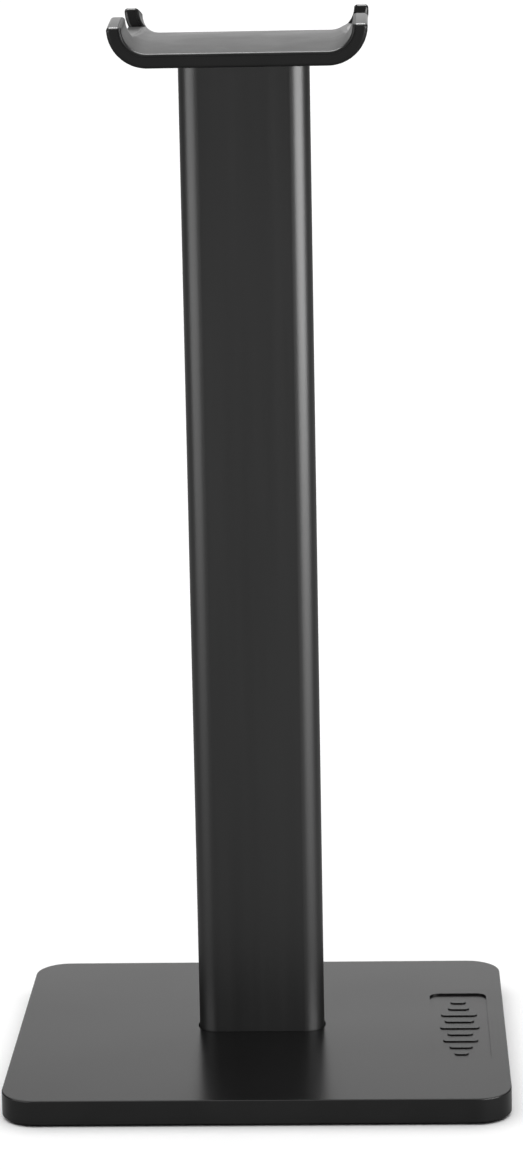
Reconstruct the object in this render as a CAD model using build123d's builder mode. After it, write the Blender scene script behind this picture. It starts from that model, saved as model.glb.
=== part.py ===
from build123d import *
import os
from math import asin, degrees, sqrt

# A headphone stand: a weighted flat base, an oblong aluminium column and a two-layer headband cradle.
# Millimetres. The origin is the middle of the footprint on the table, +X is to the right, -Y is the
# front and +Z is up. Nothing on it moves.

# ------------------------------------------------------------------ driving dimensions

# Base shell: a shallow tray, open below
base_width = 118.0
base_depth = 100.0
base_corner = 8.3
base_height = 5.8
base_side_wall = 2.0
base_top_wall = 1.8
base_top_edge = 0.3
base_rim_edge = 0.35

# Rubber feet
foot_radius = 6.0
foot_thickness = 1.1
foot_proud = 0.6
foot_edge = 0.3
foot_gap = 0.1
foot_x = 46.5
foot_y = 37.5

# Bottom cover and its screws
cover_thickness = 1.2
cover_gap = 0.15
cover_screw_x = 30.0
cover_screw_y = 41.0
cover_screw_radius = 1.25
cover_screw_length = 3.85
cover_screw_head = 2.3
cover_hole_gap = 0.05
pilot_gap = 0.03
pilot_depth = 3.2
boss_radius = 2.9

# Ballast plate
ballast_thickness = 2.7
ballast_gap = 1.0
ballast_corner = 6.0
ballast_boss_gap = 0.4

# Badge panel on the right of the base, with a plain level-meter motif
badge_x = 48.0
badge_width = 14.0
badge_length = 48.0
badge_corner = 2.4
badge_depth = 0.45
bar_height = 0.25
bar_width = 2.2
bar_pitch = 4.6
bar_lengths = (3.4, 5.6, 8.4, 6.2, 9.6, 7.2, 8.8, 5.2, 3.8)

# Column: an extruded tube with two screw ports along its whole length
column_width = 30.3
column_depth = 10.0
column_corner = 4.6
column_wall = 1.3
column_y = 2.0
port_x = 9.5
port_radius = 3.0
port_bore = 2.05
port_web = 2.6
socket_depth = 1.5
socket_gap = 0.35
spigot_width = 11.0
spigot_depth = 6.8
spigot_height = 8.0
spigot_corner = 1.0
spigot_chamfer = 0.8
socket_block_margin = 5.0
socket_block_gap = 0.1
socket_floor = 2.0

# Column screws and washers
column_screw_radius = 2.0
column_screw_length = 13.4
column_screw_head = 3.6
column_screw_head_height = 1.5
washer_radius = 4.4
washer_bore = 2.2
washer_thickness = 0.6
washer_recess = 4.8

# Cradle: a U-shaped section carried along a shallow arch
cradle_y = 2.0
cradle_width = 57.4
cradle_depth = 69.2
cradle_bend = 8.8
cradle_height = 9.35
cradle_rise = 2.55
crown_height = 241.9
saddle_thickness = 2.6
pad_thickness = 0.75
notch_length = 43.2
notch_floor = 4.0
saddle_outer_edge = 0.8
notch_edge = 0.7
prong_edge = 0.9
pad_tip_edge = 0.7
landing_thickness = 0.6
landing_inset = 0.3

# Cradle screws
cradle_screw_radius = 2.0
cradle_screw_length = 12.0
cradle_screw_head = 3.7
cradle_screw_sink = 0.1
cradle_hole_gap = 0.1

# Pegs that locate the pad in the saddle
peg_x = 15.0
peg_y = 22.0
peg_radius = 1.5
peg_length = 1.8
peg_gap = 0.05

# Proportions of every screw, as shares of its head or shank
driver_span = 1.1
driver_slot = 0.25
driver_depth = 0.75
head_rounding = 0.6
tip_chamfer = 0.45

# ------------------------------------------------------------------ heights and sections that follow

rim_z = foot_proud
base_top = rim_z + base_height
cavity_top = base_top - base_top_wall
cavity_width = base_width - 2 * base_side_wall
cavity_depth = base_depth - 2 * base_side_wall
cavity_corner = base_corner - base_side_wall
cover_top = rim_z + cover_thickness
ballast_bottom = cavity_top - ballast_thickness
column_foot = base_top - socket_depth
block_bottom = cover_top + socket_block_gap
washer_top = column_foot - socket_floor
arch_radius = ((cradle_depth / 2) ** 2 + cradle_rise**2) / (2 * cradle_rise)
arch_half_angle = degrees(asin(cradle_depth / 2 / arch_radius))
arch_axis = Axis((0, cradle_y, crown_height - arch_radius), (1, 0, 0))
column_top = crown_height - landing_thickness
prong_middle = (cradle_width - saddle_thickness) / 2
peg_hole_bottom = crown_height + saddle_thickness - peg_length
peg_top = crown_height + saddle_thickness - (arch_radius - sqrt(arch_radius**2 - peg_y**2))

# The screws go in pairs and fours
column_ports = [(-port_x, column_y), (port_x, column_y)]
cover_corners = [(x, y) for y in (-cover_screw_y, cover_screw_y) for x in (-cover_screw_x, cover_screw_x)]
foot_corners = [(x, y) for y in (-foot_y, foot_y) for x in (-foot_x, foot_x)]

# How near an edge lies to the place that picks it
touch = 0.01


def looking_up(x, y, z):
    """A plane under the part: its normal points up, into the material."""
    return Plane(origin=(x, y, z), x_dir=(1, 0, 0), z_dir=(0, 0, 1))


def looking_down(x, y, z):
    """A plane on top of the part: its normal points down, into the material."""
    return Plane(origin=(x, y, z), x_dir=(1, 0, 0), z_dir=(0, 0, -1))


def driver_cross(plane, head_radius):
    """The outline of a cross-shaped driver recess."""
    span = head_radius * driver_span
    with BuildSketch(plane) as cross:
        Rectangle(span, span * driver_slot)
        Rectangle(span * driver_slot, span)
    return cross.sketch


def countersunk_screw(plane, head_radius, shank_radius, length):
    """A flat-headed screw, head included in its length, that goes in along the plane's normal."""
    head_height = head_radius - shank_radius
    with BuildPart() as screw:
        with BuildSketch(plane):
            Circle(head_radius)
        extrude(amount=head_height, taper=45)
        with BuildSketch(plane.offset(head_height)):
            Circle(shank_radius)
        extrude(amount=length - head_height)
        tip = screw.edges().sort_by(Axis(plane.origin, plane.z_dir))[-1]
        chamfer(tip, shank_radius * tip_chamfer)
        extrude(driver_cross(plane, head_radius), amount=head_height * driver_depth, mode=Mode.SUBTRACT)
    return screw.part


def pan_screw(plane, head_radius, head_height, shank_radius, length):
    """A low-headed screw with a shank of this length, that goes in along the plane's normal."""
    with BuildPart() as screw:
        with BuildSketch(plane):
            Circle(head_radius)
        extrude(amount=head_height)
        head_rim = screw.edges().sort_by(Axis(plane.origin, plane.z_dir))[0]
        fillet(head_rim, head_height * head_rounding)
        with BuildSketch(plane.offset(head_height)):
            Circle(shank_radius)
        extrude(amount=length)
        tip = screw.edges().sort_by(Axis(plane.origin, plane.z_dir))[-1]
        chamfer(tip, shank_radius * tip_chamfer)
        extrude(driver_cross(plane, head_radius), amount=head_height * driver_depth, mode=Mode.SUBTRACT)
    return screw.part


def cradle_section(start, end):
    """The U between two depths measured inwards from the cradle's outer surface."""
    half = cradle_width / 2
    bend_x = half - cradle_bend
    low = arch_radius
    bend_z = low + cradle_bend
    tip_z = low + cradle_height
    with BuildSketch(back_plane) as section:
        with BuildLine():
            Line((-bend_x, low + start), (bend_x, low + start))
            CenterArc((bend_x, bend_z), cradle_bend - start, -90, 90)
            Line((half - start, bend_z), (half - start, tip_z))
            Line((half - start, tip_z), (half - end, tip_z))
            Line((half - end, tip_z), (half - end, bend_z))
            CenterArc((bend_x, bend_z), cradle_bend - end, 0, -90)
            Line((bend_x, low + end), (-bend_x, low + end))
            CenterArc((-bend_x, bend_z), cradle_bend - end, 270, -90)
            Line((-half + end, bend_z), (-half + end, tip_z))
            Line((-half + end, tip_z), (-half + start, tip_z))
            Line((-half + start, tip_z), (-half + start, bend_z))
            CenterArc((-bend_x, bend_z), cradle_bend - start, 180, 90)
        make_face()
    return section.sketch


def tip_edges(cradle, depth):
    """The long upper edges of both tips, at a depth inwards from the cradle's outer surface."""
    tips = []
    for x in (depth - cradle_width / 2, cradle_width / 2 - depth):
        tips.append(cradle.edges().filter_by_position(Axis.X, x - touch, x + touch).sort_by(Axis.Z)[-1])
    return tips


def lower_outline(cradle, plane):
    """The long line and the two bends of the end face in this plane, along its lower side."""
    face_edges = ShapeList(e for e in cradle.edges() if abs(plane.to_local_coords(e.center()).Z) < touch)
    low_line = face_edges.filter_by(GeomType.LINE).sort_by(SortBy.LENGTH)[-2:].sort_by(Axis.Z)[0]
    return [low_line, *face_edges.filter_by(GeomType.CIRCLE).sort_by(SortBy.RADIUS)[-2:]]


def end_notches():
    """The outline, seen from above, of the wide notches in both upturned ends."""
    with BuildSketch(Plane.XY.offset(crown_height + notch_floor)) as notches:
        with Locations((-cradle_width / 2, cradle_y), (cradle_width / 2, cradle_y)):
            Rectangle(2 * cradle_bend, notch_length)
    return notches.sketch


def peg_circles(height, radius):
    """One circle for each of the pad's four pegs."""
    with BuildSketch(Plane.XY.offset(height)) as circles:
        with Locations((0, cradle_y)):
            with GridLocations(2 * peg_x, 2 * peg_y, 2, 2):
                Circle(radius)
    return circles.sketch


# The planes of the cradle's back and front faces, turned about the arch's axis
back_plane = Plane(origin=arch_axis.position, x_dir=(1, 0, 0), z_dir=(0, -1, 0))
back_plane = back_plane.rotated((-arch_half_angle, 0, 0))
front_plane = Plane(origin=arch_axis.position, x_dir=(1, 0, 0), z_dir=(0, 1, 0))
front_plane = front_plane.rotated((arch_half_angle, 0, 0))

parts = {}

# ------------------------------------------------------------------ base

with BuildPart() as base_shell:
    with BuildSketch(Plane.XY.offset(rim_z)):
        RectangleRounded(base_width, base_depth, base_corner)
    extrude(amount=base_height)
    fillet(base_shell.faces().sort_by(Axis.Z)[-1].edges(), base_top_edge)
    fillet(base_shell.faces().sort_by(Axis.Z)[0].edges(), base_rim_edge)
    # The cavity leaves the top wall and the side walls
    with BuildSketch(Plane.XY.offset(rim_z)):
        RectangleRounded(cavity_width, cavity_depth, cavity_corner)
    extrude(amount=cavity_top - rim_z, mode=Mode.SUBTRACT)
    # Four bosses for the cover's screws and a block under the column's socket
    with BuildSketch(Plane.XY.offset(cover_top)):
        with Locations(*cover_corners):
            Circle(boss_radius)
    extrude(amount=cavity_top - cover_top)
    with BuildSketch(Plane.XY.offset(block_bottom)):
        with Locations((0, column_y)):
            RectangleRounded(
                column_width + 2 * socket_block_margin,
                column_depth + 2 * socket_block_margin,
                socket_block_margin,
            )
    extrude(amount=cavity_top - block_bottom)
    # The socket for the column's foot, and a spigot that goes up into the tube
    with BuildSketch(Plane.XY.offset(column_foot)):
        with Locations((0, column_y)):
            RectangleRounded(
                column_width + 2 * socket_gap,
                column_depth + 2 * socket_gap,
                column_corner + socket_gap,
            )
    extrude(amount=2 * socket_depth, mode=Mode.SUBTRACT)
    with BuildSketch(Plane.XY.offset(column_foot)):
        with Locations((0, column_y)):
            RectangleRounded(spigot_width, spigot_depth, spigot_corner)
    extrude(amount=spigot_height)
    chamfer(base_shell.faces().sort_by(Axis.Z)[-1].edges(), spigot_chamfer)
    # Clearance for the column's screws and recesses for their washers
    with BuildSketch(Plane.XY.offset(block_bottom)):
        with Locations(*column_ports):
            Circle(washer_recess)
    extrude(amount=washer_top - block_bottom, mode=Mode.SUBTRACT)
    with BuildSketch(Plane.XY.offset(washer_top)):
        with Locations(*column_ports):
            Circle(washer_bore)
    extrude(amount=column_foot - washer_top, mode=Mode.SUBTRACT)
    # Pilot holes in the bosses
    with BuildSketch(Plane.XY.offset(cover_top)):
        with Locations(*cover_corners):
            Circle(cover_screw_radius + pilot_gap)
    extrude(amount=pilot_depth, mode=Mode.SUBTRACT)
    # The badge panel: a sunk field with raised bars of different lengths
    with BuildSketch(Plane.XY.offset(base_top - badge_depth)):
        with Locations((badge_x, 0)):
            RectangleRounded(badge_width, badge_length, badge_corner)
    extrude(amount=2 * badge_depth, mode=Mode.SUBTRACT)
    with BuildSketch(Plane.XY.offset(base_top - badge_depth)):
        for index, bar_length in enumerate(bar_lengths):
            bar_y = (index - (len(bar_lengths) - 1) / 2) * bar_pitch
            with Locations((badge_x, bar_y)):
                SlotOverall(bar_length, bar_width)
    extrude(amount=bar_height)
parts["base_shell"] = base_shell.part

with BuildPart() as bottom_cover:
    with BuildSketch(Plane.XY.offset(rim_z)):
        RectangleRounded(
            cavity_width - 2 * cover_gap,
            cavity_depth - 2 * cover_gap,
            cavity_corner - cover_gap,
        )
        with Locations(*column_ports):
            Circle(washer_recess, mode=Mode.SUBTRACT)
    extrude(amount=cover_thickness)
    # Shallow seats for the feet
    with BuildSketch(Plane.XY.offset(rim_z)):
        with Locations(*foot_corners):
            Circle(foot_radius + foot_gap)
    extrude(amount=foot_thickness - foot_proud, mode=Mode.SUBTRACT)
    # Countersunk holes for the screws
    with Locations(*[looking_up(x, y, rim_z) for x, y in cover_corners]):
        Cone(
            cover_screw_head + cover_hole_gap,
            cover_screw_radius + cover_hole_gap,
            cover_screw_head - cover_screw_radius,
            align=(Align.CENTER, Align.CENTER, Align.MIN),
            mode=Mode.SUBTRACT,
        )
        Cylinder(
            cover_screw_radius + cover_hole_gap,
            cover_thickness,
            align=(Align.CENTER, Align.CENTER, Align.MIN),
            mode=Mode.SUBTRACT,
        )
parts["bottom_cover"] = bottom_cover.part

with BuildPart() as ballast_plate:
    with BuildSketch(Plane.XY.offset(ballast_bottom)):
        RectangleRounded(cavity_width - 2 * ballast_gap, cavity_depth - 2 * ballast_gap, ballast_corner)
        with Locations((0, column_y)):
            RectangleRounded(
                column_width + 2 * socket_block_margin + 2 * ballast_gap,
                column_depth + 2 * socket_block_margin + 2 * ballast_gap,
                socket_block_margin + ballast_gap,
                mode=Mode.SUBTRACT,
            )
        with Locations(*cover_corners):
            Circle(boss_radius + ballast_boss_gap, mode=Mode.SUBTRACT)
    extrude(amount=ballast_thickness)
parts["ballast_plate"] = ballast_plate.part

for number, (x, y) in enumerate(cover_corners, start=1):
    parts[f"cover_screw_{number}"] = countersunk_screw(
        looking_up(x, y, rim_z), cover_screw_head, cover_screw_radius, cover_screw_length
    )

for number, (x, y) in enumerate(foot_corners, start=1):
    with BuildPart() as foot:
        with BuildSketch(looking_up(x, y, 0)):
            Circle(foot_radius)
        extrude(amount=foot_thickness)
        fillet(foot.edges().sort_by(Axis.Z)[0], foot_edge)
    parts[f"foot_{number}"] = foot.part

# ------------------------------------------------------------------ column

with BuildPart() as column:
    with BuildSketch(Plane.XY.offset(column_foot)):
        with Locations((0, column_y)):
            RectangleRounded(column_width, column_depth, column_corner)
            RectangleRounded(
                column_width - 2 * column_wall,
                column_depth - 2 * column_wall,
                column_corner - column_wall,
                mode=Mode.SUBTRACT,
            )
        with Locations(*column_ports):
            Circle(port_radius)
            Rectangle(port_web, column_depth - column_wall)
            Circle(port_bore, mode=Mode.SUBTRACT)
    extrude(amount=column_top - column_foot)
parts["column"] = column.part

for side, (x, y) in zip(("left", "right"), column_ports):
    with BuildPart() as washer:
        with BuildSketch(looking_up(x, y, washer_top - washer_thickness)):
            Circle(washer_radius)
            Circle(washer_bore, mode=Mode.SUBTRACT)
        extrude(amount=washer_thickness)
    parts[f"column_washer_{side}"] = washer.part
    parts[f"column_screw_{side}"] = pan_screw(
        looking_up(x, y, washer_top - washer_thickness - column_screw_head_height),
        column_screw_head,
        column_screw_head_height,
        column_screw_radius,
        column_screw_length,
    )

# ------------------------------------------------------------------ cradle

with BuildPart() as cradle_saddle:
    revolve(cradle_section(0, saddle_thickness), axis=arch_axis, revolution_arc=2 * arch_half_angle)
    fillet(tip_edges(cradle_saddle, 0), prong_edge)
    # Round the front and back faces along their lower side
    for plane in (front_plane, back_plane):
        fillet(lower_outline(cradle_saddle, plane), saddle_outer_edge)
    extrude(end_notches(), amount=2 * cradle_height, mode=Mode.SUBTRACT)
    # Round the outer edges of the four prongs where the notches cut them
    for notch_y in (cradle_y - notch_length / 2, cradle_y + notch_length / 2):
        cut_edges = cradle_saddle.edges().filter_by_position(Axis.Y, notch_y - touch, notch_y + touch)
        fillet([edge for edge in cut_edges if abs(edge.center().X) > prong_middle], notch_edge)
    # The flat landing and the spigot that goes down into the tube
    with BuildSketch(Plane.XY.offset(column_top)):
        with Locations((0, column_y)):
            RectangleRounded(
                column_width - 2 * landing_inset,
                column_depth - 2 * landing_inset,
                column_corner - landing_inset,
            )
    extrude(amount=landing_thickness + saddle_thickness / 2)
    with BuildSketch(Plane.XY.offset(column_top - spigot_height)):
        with Locations((0, column_y)):
            RectangleRounded(spigot_width, spigot_depth, spigot_corner)
    extrude(amount=spigot_height)
    # Countersunk holes for the two screws
    with Locations(*[looking_up(x, y, crown_height + saddle_thickness) for x, y in column_ports]):
        CounterSinkHole(
            cradle_screw_radius + cradle_hole_gap,
            cradle_screw_head + cradle_hole_gap,
            2 * saddle_thickness,
            counter_sink_angle=90,
        )
    # Blind holes for the pad's pegs
    extrude(peg_circles(peg_hole_bottom, peg_radius + peg_gap), amount=saddle_thickness, mode=Mode.SUBTRACT)
parts["cradle_saddle"] = cradle_saddle.part

with BuildPart() as cradle_pad:
    revolve(
        cradle_section(saddle_thickness, saddle_thickness + pad_thickness),
        axis=arch_axis,
        revolution_arc=2 * arch_half_angle,
    )
    fillet(tip_edges(cradle_pad, saddle_thickness + pad_thickness), pad_tip_edge)
    extrude(end_notches(), amount=2 * cradle_height, mode=Mode.SUBTRACT)
    extrude(
        peg_circles(peg_hole_bottom + peg_gap, peg_radius),
        amount=peg_top + pad_thickness / 2 - peg_hole_bottom,
    )
parts["cradle_pad"] = cradle_pad.part

for side, (x, y) in zip(("left", "right"), column_ports):
    parts[f"cradle_screw_{side}"] = countersunk_screw(
        looking_down(x, y, crown_height + saddle_thickness - cradle_screw_sink),
        cradle_screw_head,
        cradle_screw_radius,
        cradle_screw_length,
    )

# ------------------------------------------------------------------ output

os.makedirs("parts", exist_ok=True)
for name, part in parts.items():
    part.label = name
    export_step(part, f"parts/{name}.step")
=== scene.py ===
import math

import bmesh
import bpy
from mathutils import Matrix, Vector


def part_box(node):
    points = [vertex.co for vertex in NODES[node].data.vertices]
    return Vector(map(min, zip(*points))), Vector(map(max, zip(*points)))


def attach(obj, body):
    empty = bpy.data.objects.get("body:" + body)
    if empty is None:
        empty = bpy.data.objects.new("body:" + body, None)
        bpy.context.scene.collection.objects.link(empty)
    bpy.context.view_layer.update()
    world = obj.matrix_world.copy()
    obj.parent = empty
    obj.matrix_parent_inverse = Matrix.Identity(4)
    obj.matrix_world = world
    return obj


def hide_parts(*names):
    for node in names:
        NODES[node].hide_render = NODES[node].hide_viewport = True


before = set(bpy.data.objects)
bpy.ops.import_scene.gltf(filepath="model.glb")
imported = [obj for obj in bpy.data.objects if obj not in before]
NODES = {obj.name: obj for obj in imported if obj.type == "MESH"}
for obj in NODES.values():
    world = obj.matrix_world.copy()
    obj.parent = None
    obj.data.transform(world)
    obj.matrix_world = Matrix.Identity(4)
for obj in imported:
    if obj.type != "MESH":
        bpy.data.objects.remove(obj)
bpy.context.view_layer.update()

# ------------------------------------------------------------------ camera and studio

# The camera stands a little to the right of the stand and looks slightly down on it
CAMERA_EYE = (0.0313, -0.7928, 0.2861)
CAMERA_YAW = 2.123
CAMERA_PITCH = 12.086
CAMERA_ROLL = -1.085
CAMERA_LENS = 105.65
CAMERA_SENSOR = 36.0
CAMERA_NEAR = 0.01
CAMERA_FAR = 50.0

# Radiance of the room in the reflections: behind the stand, above it and at its sides. The fades are
# the components of the direction between which each part comes in.
ROOM_BEHIND = 1.5
ROOM_BEHIND_FADE = (0.85, 1.0)
ROOM_ABOVE = 1.7
ROOM_ABOVE_FADE = (0.4, 0.8)
ROOM_SIDES = 0.06

# The floor's albedo, as the camera sees it and as the stand gets light back from it
FLOOR_SIZE = 30.0
FLOOR_WHITE = 0.97
FLOOR_BOUNCE = 0.37
FLOOR_ROUGHNESS = 0.9
FLOOR_SPECULAR = 0.2

# Softboxes on both sides of the camera, with the azimuth in degrees from the front
SOFTBOX_LOW = 0.0
SOFTBOX_HIGH = 0.25
SOFTBOX_WIDTH = 1.2
SOFTBOX_DISTANCE = 1.2
SOFTBOXES = {
    "softbox_left": {"azimuth": -50, "radiance": 9.5},
    "softbox_right": {"azimuth": 50, "radiance": 23.5},
}

# The overhead softbox draws the bright line along the pad's rolled front rim
OVERHEAD_PLACE = (0.0, 0.15, 1.3)
OVERHEAD_SIZE = (1.3, 0.9)
OVERHEAD_RADIANCE = 25.0


def make_camera():
    """A level camera turned by its yaw, then its pitch, then its roll."""
    data = bpy.data.cameras.new("camera")
    data.lens = CAMERA_LENS
    data.sensor_width = CAMERA_SENSOR
    data.clip_start = CAMERA_NEAR
    data.clip_end = CAMERA_FAR
    camera = bpy.data.objects.new("camera", data)
    bpy.context.collection.objects.link(camera)
    yaw, pitch, roll = (math.radians(a) for a in (CAMERA_YAW, CAMERA_PITCH, CAMERA_ROLL))
    level = Vector((math.cos(yaw), math.sin(yaw), 0.0))
    forward = Vector((-math.sin(yaw), math.cos(yaw), 0.0))
    ahead = forward * math.cos(pitch) - Vector((0.0, 0.0, math.sin(pitch)))
    upright = level.cross(ahead)
    right = level * math.cos(roll) + upright * math.sin(roll)
    up = upright * math.cos(roll) - level * math.sin(roll)
    turn = camera.matrix_world.to_3x3()
    for column, axis in enumerate((right, up, -ahead)):
        turn.col[column] = axis
    camera.matrix_world = turn.to_4x4()
    camera.location = CAMERA_EYE
    bpy.context.scene.camera = camera


def smooth_step(tree, value, fade, top):
    """A smooth step of a value, from 0 where the fade starts to top where it ends."""
    step = tree.nodes.new("ShaderNodeMapRange")
    step.interpolation_type = "SMOOTHSTEP"
    step.inputs["From Min"].default_value = fade[0]
    step.inputs["From Max"].default_value = fade[1]
    step.inputs["To Max"].default_value = top
    tree.links.new(value, step.inputs["Value"])
    return step.outputs["Result"]


def make_room():
    """A white room for the camera, and in reflections bright above and behind and dim elsewhere."""
    world = bpy.data.worlds.new("room")
    bpy.context.scene.world = world
    world.use_nodes = True
    tree = world.node_tree
    background = tree.nodes["Background"]
    background.inputs["Color"].default_value = (1, 1, 1, 1)
    coordinates = tree.nodes.new("ShaderNodeTexCoord")
    split = tree.nodes.new("ShaderNodeSeparateXYZ")
    tree.links.new(coordinates.outputs["Generated"], split.inputs["Vector"])
    behind = smooth_step(tree, split.outputs["Y"], ROOM_BEHIND_FADE, ROOM_BEHIND)
    above = smooth_step(tree, split.outputs["Z"], ROOM_ABOVE_FADE, ROOM_ABOVE)
    lit = tree.nodes.new("ShaderNodeMath")
    tree.links.new(behind, lit.inputs[0])
    tree.links.new(above, lit.inputs[1])
    total = tree.nodes.new("ShaderNodeMath")
    tree.links.new(lit.outputs["Value"], total.inputs[0])
    total.inputs[1].default_value = ROOM_SIDES
    path = tree.nodes.new("ShaderNodeLightPath")
    seen = tree.nodes.new("ShaderNodeMix")
    tree.links.new(path.outputs["Is Camera Ray"], seen.inputs["Factor"])
    tree.links.new(total.outputs["Value"], seen.inputs["A"])
    seen.inputs["B"].default_value = 1.0
    tree.links.new(seen.outputs["Result"], background.inputs["Strength"])


def area_light(name, place, facing, size, radiance, receivers):
    """A rectangular light of this radiance, which shines along facing and only on its receivers."""
    data = bpy.data.lights.new(name, "AREA")
    data.shape = "RECTANGLE"
    data.size, data.size_y = size
    data.energy = radiance * math.pi * size[0] * size[1]
    light = bpy.data.objects.new(name, data)
    bpy.context.collection.objects.link(light)
    light.location = place
    light.rotation_mode = "QUATERNION"
    light.rotation_quaternion = Vector(facing).to_track_quat("-Z", "Y")
    light.visible_camera = False
    light.light_linking.receiver_collection = receivers


def everything_but(name, *excluded):
    """A light-linking collection that keeps a light off some objects."""
    receivers = bpy.data.collections.new(name)
    for index, thing in enumerate(excluded):
        receivers.objects.link(thing)
        receivers.collection_objects[index].light_linking.link_state = "EXCLUDE"
    return receivers


def make_lights(floor):
    """Two low softboxes and one overhead. The floor gets all its light from the room."""
    off_floor = everything_but("all_but_floor", floor)
    size = (SOFTBOX_WIDTH, SOFTBOX_HIGH - SOFTBOX_LOW)
    middle_z = (SOFTBOX_LOW + SOFTBOX_HIGH) / 2
    for name, box in SOFTBOXES.items():
        turn = math.radians(box["azimuth"])
        facing = Vector((-math.sin(turn), math.cos(turn), 0.0))
        place = Vector((0.0, 0.0, middle_z)) - facing * SOFTBOX_DISTANCE
        area_light(name, place, facing, size, box["radiance"], off_floor)
    off_base = everything_but("all_but_floor_and_base", floor, NODES["base_shell"])
    area_light("overhead", OVERHEAD_PLACE, (0, 0, -1), OVERHEAD_SIZE, OVERHEAD_RADIANCE, off_base)


def make_floor():
    """A very large white floor, which gives the stand less light back than the camera sees."""
    bpy.ops.mesh.primitive_plane_add(size=FLOOR_SIZE, location=(0, 0, 0))
    floor = bpy.context.object
    floor.name = "floor"
    material = bpy.data.materials.new("floor_paint")
    material.use_nodes = True
    tree = material.node_tree
    shader = tree.nodes["Principled BSDF"]
    path = tree.nodes.new("ShaderNodeLightPath")
    tone = tree.nodes.new("ShaderNodeMix")
    tree.links.new(path.outputs["Is Camera Ray"], tone.inputs["Factor"])
    tone.inputs["A"].default_value = FLOOR_BOUNCE
    tone.inputs["B"].default_value = FLOOR_WHITE
    tree.links.new(tone.outputs["Result"], shader.inputs["Base Color"])
    shader.inputs["Roughness"].default_value = FLOOR_ROUGHNESS
    shader.inputs["Specular IOR Level"].default_value = FLOOR_SPECULAR
    floor.data.materials.append(material)
    return floor


# ------------------------------------------------------------------ materials


# Noise stays mostly between these values, so they are spread over the whole of a range
NOISE_LOW = 0.3
NOISE_HIGH = 0.7


class Finish:
    """A procedural material: the Principled shader and the node chains that feed it."""

    def __init__(self, name, specular, metallic=0.0):
        self.material = bpy.data.materials.new(name)
        self.material.use_nodes = True
        self.tree = self.material.node_tree
        self.shader = self.tree.nodes["Principled BSDF"]
        self.shader.inputs["Metallic"].default_value = metallic
        self.shader.inputs["Specular IOR Level"].default_value = specular
        self.coordinates = self.tree.nodes.new("ShaderNodeTexCoord")
        self.normal = None

    def noise(self, size, stretch=(1, 1, 1), detail=2.0):
        """Noise whose features are about this size in metres, longer where the stretch is over 1."""
        mapping = self.tree.nodes.new("ShaderNodeMapping")
        mapping.inputs["Scale"].default_value = [1 / factor for factor in stretch]
        self.tree.links.new(self.coordinates.outputs["Object"], mapping.inputs["Vector"])
        noise = self.tree.nodes.new("ShaderNodeTexNoise")
        noise.inputs["Scale"].default_value = 1 / size
        noise.inputs["Detail"].default_value = detail
        self.tree.links.new(mapping.outputs["Vector"], noise.inputs["Vector"])
        return noise.outputs["Fac"]

    def cells(self, size):
        """Rounded cells of about this size in metres, for a pebbled grain."""
        voronoi = self.tree.nodes.new("ShaderNodeTexVoronoi")
        voronoi.feature = "SMOOTH_F1"
        voronoi.inputs["Scale"].default_value = 1 / size
        self.tree.links.new(self.coordinates.outputs["Object"], voronoi.inputs["Vector"])
        return voronoi.outputs["Distance"]

    def spread(self, value, low, high):
        """A noise value spread over a range."""
        step = self.tree.nodes.new("ShaderNodeMapRange")
        step.inputs["From Min"].default_value = NOISE_LOW
        step.inputs["From Max"].default_value = NOISE_HIGH
        step.inputs["To Min"].default_value = low
        step.inputs["To Max"].default_value = high
        self.tree.links.new(value, step.inputs["Value"])
        return step.outputs["Result"]

    def colour(self, value, dark, light):
        """The base colour goes from dark to light with a noise value."""
        mix = self.tree.nodes.new("ShaderNodeMix")
        mix.data_type = "RGBA"
        sockets = {socket.identifier: socket for socket in mix.inputs}
        sockets["A_Color"].default_value = (*dark, 1)
        sockets["B_Color"].default_value = (*light, 1)
        self.tree.links.new(self.spread(value, low=0.0, high=1.0), sockets["Factor_Float"])
        mixed = next(socket for socket in mix.outputs if socket.identifier == "Result_Color")
        self.tree.links.new(mixed, self.shader.inputs["Base Color"])

    def roughness(self, value, low, high):
        """The roughness goes from low to high with a noise value."""
        self.tree.links.new(self.spread(value, low, high), self.shader.inputs["Roughness"])

    def relief(self, value, depth, strength):
        """A bump of this depth in metres, on top of any earlier one."""
        bump = self.tree.nodes.new("ShaderNodeBump")
        bump.inputs["Distance"].default_value = depth
        bump.inputs["Strength"].default_value = strength
        self.tree.links.new(value, bump.inputs["Height"])
        if self.normal:
            self.tree.links.new(self.normal, bump.inputs["Normal"])
        self.normal = bump.outputs["Normal"]
        self.tree.links.new(self.normal, self.shader.inputs["Normal"])


def grey(value, warmth=0.0):
    """A grey, with a little more red and less blue where it is warm."""
    return (value * (1 + warmth), value, value * (1 - warmth))


def moulded_plastic(name, tone, roughness, specular, grain, grain_depth):
    """Satin black moulded plastic: a fine spark-eroded grain, flow marks and a little handling wear."""
    finish = Finish(name, specular)
    finish.colour(finish.noise(0.012, detail=4.0), dark=grey(tone * 0.85), light=grey(tone * 1.2))
    wear = finish.noise(0.03, stretch=(2.0, 1.0, 1.0), detail=5.0)
    finish.roughness(wear, low=roughness * 0.9, high=roughness * 1.12)
    finish.relief(finish.noise(grain, detail=3.0), grain_depth, strength=0.35)
    finish.relief(finish.noise(0.02), depth=0.00004, strength=0.15)
    return finish.material


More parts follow.
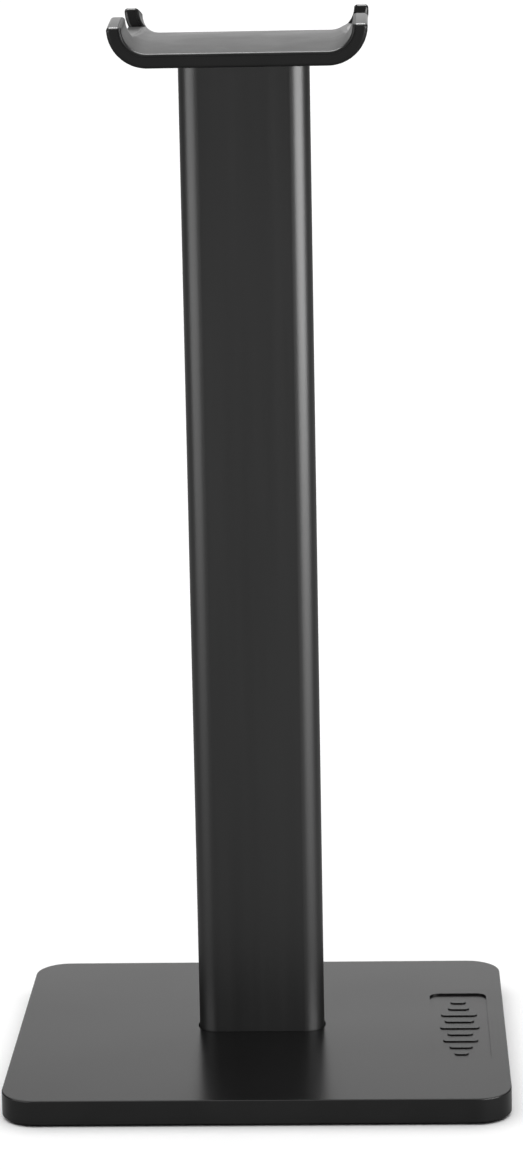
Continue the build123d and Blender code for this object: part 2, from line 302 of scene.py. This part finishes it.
def black_anodised(name):
    """Black anodised extrusion: fine die lines along its length under a satin etch."""
    finish = Finish(name, specular=0.48)
    die_lines = finish.noise(0.0005, stretch=(1.0, 1.0, 400.0))
    finish.colour(
        finish.noise(0.02, stretch=(1.0, 1.0, 4.0), detail=3.0), dark=grey(0.002), light=grey(0.003)
    )
    finish.roughness(finish.noise(0.004, stretch=(1.0, 1.0, 30.0), detail=4.0), low=0.35, high=0.4)
    finish.relief(die_lines, depth=0.000006, strength=0.2)
    finish.relief(finish.noise(0.00018), depth=0.000008, strength=0.25)
    return finish.material


def soft_tpu(name):
    """Soft black TPU skin: a close pebbled grain and a dry surface."""
    finish = Finish(name, specular=0.18)
    finish.colour(finish.noise(0.006, detail=5.0), dark=grey(0.002), light=grey(0.004))
    finish.roughness(finish.noise(0.009, detail=4.0), low=0.38, high=0.46)
    finish.relief(finish.cells(0.0006), depth=0.00002, strength=0.3)
    finish.relief(finish.noise(0.00025), depth=0.00001, strength=0.25)
    return finish.material


def rubber(name):
    """Matt grey-black rubber with a coarse moulded grain."""
    finish = Finish(name, specular=0.35)
    finish.colour(finish.noise(0.003, detail=5.0), dark=grey(0.018), light=grey(0.034))
    finish.roughness(finish.noise(0.002, detail=4.0), low=0.68, high=0.84)
    finish.relief(finish.cells(0.0004), depth=0.00004, strength=0.4)
    return finish.material


def plated_steel(name, tone, warmth, roughness, streak):
    """Zinc-plated steel: cloudy plating, with rolling marks along X."""
    finish = Finish(name, specular=0.5, metallic=1.0)
    clouds = finish.noise(0.004, detail=4.0)
    finish.colour(clouds, dark=grey(tone * 0.86, warmth), light=grey(tone, warmth))
    marks = finish.noise(0.0006, stretch=(streak, 1.0, 1.0), detail=3.0)
    finish.roughness(marks, low=roughness * 0.8, high=roughness * 1.25)
    finish.relief(finish.noise(0.0003, stretch=(streak, 1.0, 1.0)), depth=0.00001, strength=0.3)
    return finish.material


# ------------------------------------------------------------------ pad

# The cradle's section and arch, in metres, as the CAD model has them
WALL_OUT = 0.0287
BEND = 0.0088
TIP_HEIGHT = 0.00935
SADDLE_THICKNESS = 0.0026
PAD_THICKNESS = 0.00075
LANDING = 0.0006
ARCH_HALF_DEPTH = 0.0346
ARCH_RISE = 0.00255
NOTCH_HALF_LENGTH = 0.0216
NOTCH_FLOOR = 0.004

# How far the pad's skin stays inside the CAD pad, and how its rims are rounded
PAD_SEAT_GAP = 0.00002
PAD_END_INSET = 0.00012
PAD_TIP_INSET = 0.00012
PAD_ROUNDING = 0.0005
PAD_TIP_ROUNDING = 0.00062
PAD_RIM_SEGMENTS = 5
PAD_SHARP_ANGLE = 50

# Cells of each half of the U: half the flat, the bend below and above the notch's floor, and the tip
FLAT_CELLS, LOW_BEND_CELLS, HIGH_BEND_CELLS, TIP_CELLS = 12, 12, 8, 1
HALF_CELLS = FLAT_CELLS + LOW_BEND_CELLS + HIGH_BEND_CELLS + TIP_CELLS
# Cells from front to back: along the notches, and along each end
NOTCH_ROWS = 36
END_ROWS = 10
ROWS = NOTCH_ROWS + 2 * END_ROWS

BEND_X = WALL_OUT - BEND
ARCH_RADIUS = (ARCH_HALF_DEPTH**2 + ARCH_RISE**2) / (2 * ARCH_RISE)
ARCH_ANGLE = math.asin(ARCH_HALF_DEPTH / ARCH_RADIUS)
ARCH_AXIS_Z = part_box("column")[1].z + LANDING - ARCH_RADIUS
ARCH_MIDDLE_Y = sum(corner.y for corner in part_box("cradle_pad")) / 2


def section_point(depth, column, offset_y):
    """A point of the right half of the U at this depth: its X and its distance from the arch's axis."""
    if column <= FLAT_CELLS:
        return BEND_X * column / FLAT_CELLS, ARCH_RADIUS + depth
    bend_radius = BEND - depth
    bend_centre = ARCH_RADIUS + BEND
    # The notch's flat floor cuts the bend at this angle, which changes along the arch
    floor_angle = math.acos((bend_centre - math.hypot(ARCH_RADIUS + NOTCH_FLOOR, offset_y)) / bend_radius)
    column -= FLAT_CELLS
    if column <= LOW_BEND_CELLS:
        angle = floor_angle * column / LOW_BEND_CELLS
    else:
        column -= LOW_BEND_CELLS
        if column > HIGH_BEND_CELLS:
            rise = (TIP_HEIGHT - BEND - PAD_TIP_INSET) * (column - HIGH_BEND_CELLS) / TIP_CELLS
            return BEND_X + bend_radius, bend_centre + rise
        angle = floor_angle + (math.pi / 2 - floor_angle) * column / HIGH_BEND_CELLS
    return BEND_X + bend_radius * math.sin(angle), bend_centre - bend_radius * math.cos(angle)


def pad_point(depth, column, row):
    """The place of a grid point of the pad, at a depth inwards from the cradle's outer surface."""
    rows_past_notch = max(END_ROWS - row, row - (ROWS - END_ROWS), 0)
    if rows_past_notch:
        x, radius = section_point(depth, abs(column), NOTCH_HALF_LENGTH)
        end_y = radius * math.sin(ARCH_ANGLE) - PAD_END_INSET
        reach = NOTCH_HALF_LENGTH + (end_y - NOTCH_HALF_LENGTH) * rows_past_notch / END_ROWS
        offset_y = math.copysign(reach, row - END_ROWS)
    else:
        offset_y = NOTCH_HALF_LENGTH * (2 * (row - END_ROWS) / NOTCH_ROWS - 1)
        x, radius = section_point(depth, abs(column), offset_y)
    z = ARCH_AXIS_Z + math.sqrt(radius**2 - offset_y**2)
    return (math.copysign(x, column), ARCH_MIDDLE_Y + offset_y, z)


def pad_cells():
    """The four corners of every cell of the pad's grid. The notches leave cells out on both sides."""
    past_notch_floor = FLAT_CELLS + LOW_BEND_CELLS
    for row in range(ROWS):
        beside_notches = END_ROWS <= row < ROWS - END_ROWS
        half = past_notch_floor if beside_notches else HALF_CELLS
        for column in range(-half, half):
            yield ((column, row), (column + 1, row), (column + 1, row + 1), (column, row + 1))


def on_tip(edge):
    """Whether an edge of the upper sheet runs along the top of a prong."""
    first, second = (vertex.co for vertex in edge.verts)
    tip_x = WALL_OUT - SADDLE_THICKNESS - PAD_THICKNESS - PAD_SEAT_GAP
    notch_y = NOTCH_HALF_LENGTH + PAD_SEAT_GAP
    runs_along = abs(first.y - second.y) > abs(first.x - second.x)
    at_top = min(abs(first.x), abs(second.x)) > tip_x
    past_notch = max(abs(first.y - ARCH_MIDDLE_Y), abs(second.y - ARCH_MIDDLE_Y)) >= notch_y
    return runs_along and at_top and past_notch


def pad_shell():
    """The closed shell of the pad, with the rounding of its upper rims as bevel weights."""
    mesh = bmesh.new()
    weight = mesh.edges.layers.float.new("bevel_weight_edge")
    sheets = []
    for depth in (SADDLE_THICKNESS + PAD_SEAT_GAP, SADDLE_THICKNESS + PAD_THICKNESS):
        points = {}
        for cell in pad_cells():
            for key in cell:
                if key not in points:
                    points[key] = mesh.verts.new(pad_point(depth, *key))
        sheets.append(points)
    lower, upper = sheets
    for cell in pad_cells():
        mesh.faces.new([upper[key] for key in cell])
        mesh.faces.new([lower[key] for key in reversed(cell)])
    below = {upper[key]: lower[key] for key in upper}
    rims = [edge for edge in mesh.edges if edge.is_boundary and edge.verts[0] in below]
    for edge in rims:
        first, second = edge.verts
        edge[weight] = 1.0 if on_tip(edge) else PAD_ROUNDING / PAD_TIP_ROUNDING
        mesh.faces.new((first, second, below[second], below[first]))
    bmesh.ops.recalc_face_normals(mesh, faces=mesh.faces)
    data = bpy.data.meshes.new("pad_skin")
    mesh.to_mesh(data)
    mesh.free()
    return data


def make_pad():
    """The soft skin of the cradle: one closed shell with rolled rims, cut out at both notches."""
    pad = bpy.data.objects.new("pad_skin", pad_shell())
    bpy.context.collection.objects.link(pad)
    bevel = pad.modifiers.new("rolled_rim", "BEVEL")
    bevel.limit_method = "WEIGHT"
    bevel.width = PAD_TIP_ROUNDING
    bevel.segments = PAD_RIM_SEGMENTS
    bevel.use_clamp_overlap = False
    evaluated = pad.evaluated_get(bpy.context.evaluated_depsgraph_get())
    pad.data = bpy.data.meshes.new_from_object(evaluated)
    pad.modifiers.clear()
    for face in pad.data.polygons:
        face.use_smooth = True
    pad.data.set_sharp_from_angle(angle=math.radians(PAD_SHARP_ANGLE))
    return pad


# ------------------------------------------------------------------ scene

bpy.context.scene.view_settings.view_transform = "Standard"
make_camera()
make_room()
make_lights(make_floor())

# The visible plastics share one spark-eroded grain, and the cover's is coarser
FINE_GRAIN = {"grain": 0.00022, "grain_depth": 0.000012}
COARSE_GRAIN = {"grain": 0.0005, "grain_depth": 0.00004}
BASE_PLASTIC = moulded_plastic("base_abs", tone=0.004, roughness=0.24, specular=0.32, **FINE_GRAIN)
COVER_PLASTIC = moulded_plastic("cover_abs", tone=0.012, roughness=0.5, specular=0.4, **COARSE_GRAIN)
SADDLE_PLASTIC = moulded_plastic("saddle_abs", tone=0.003, roughness=0.32, specular=0.28, **FINE_GRAIN)
ANODISED = black_anodised("black_anodised")
TPU = soft_tpu("pad_tpu_skin")
RUBBER = rubber("foot_rubber_matt")
SCREW_STEEL = plated_steel("screw_zinc", tone=0.55, warmth=0.02, roughness=0.32, streak=3.0)
BALLAST_STEEL = plated_steel("ballast_zinc", tone=0.4, warmth=0.0, roughness=0.42, streak=30.0)

# Each node's material goes by the start of its name
FINISHES = {
    "base_shell": BASE_PLASTIC,
    "bottom_cover": COVER_PLASTIC,
    "ballast_plate": BALLAST_STEEL,
    "cover_screw": SCREW_STEEL,
    "foot": RUBBER,
    "column_washer": SCREW_STEEL,
    "column_screw": SCREW_STEEL,
    "column": ANODISED,
    "cradle_saddle": SADDLE_PLASTIC,
    "cradle_pad": TPU,
    "cradle_screw": SCREW_STEEL,
}
for node_name, node in NODES.items():
    family = max((start for start in FINISHES if node_name.startswith(start)), key=len)
    for index in range(len(node.data.materials)):
        node.data.materials[index] = FINISHES[family]

pad_skin = make_pad()
pad_skin.data.materials.append(TPU)
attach(pad_skin, "root")
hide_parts("cradle_pad")
